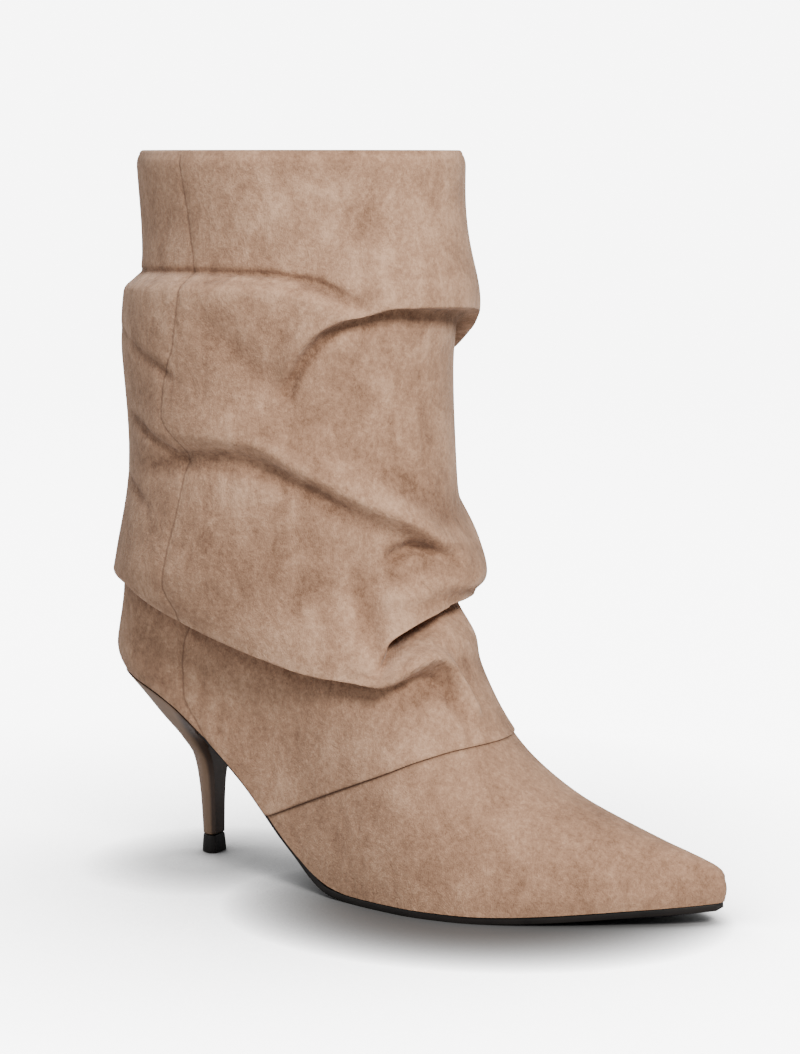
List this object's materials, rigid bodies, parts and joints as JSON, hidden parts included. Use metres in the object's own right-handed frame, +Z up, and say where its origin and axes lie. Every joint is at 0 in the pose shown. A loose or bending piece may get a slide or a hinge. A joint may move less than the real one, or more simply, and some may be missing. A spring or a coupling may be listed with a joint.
{
  "type": "slouch boot",
  "caption": "Pull-on slouch boot for the right foot: wide shaft pushed down in soft folds, pointed toe, lapped instep seam and a slim flared heel.",
  "frame": {"origin": "on the floor, under the middle of the heel tip", "axes": "+X towards the toe, +Y towards the medial side, +Z up"},
  "size_m": [0.2522, 0.1098, 0.2701],
  "materials": {
    "suede": "brushed taupe suede, matt nap",
    "sole_rubber": "satin black, thin",
    "heel_lacquer": "glossy taupe lacquer",
    "tip_rubber": "matt black",
    "insole_leather": "smooth, matt"
  },
  "bodies": {
    "root": {"upper": "suede", "outsole": "sole_rubber", "heel": "heel_lacquer", "heel_tip": "tip_rubber", "insole": "insole_leather"}
  },
  "joints": []
}
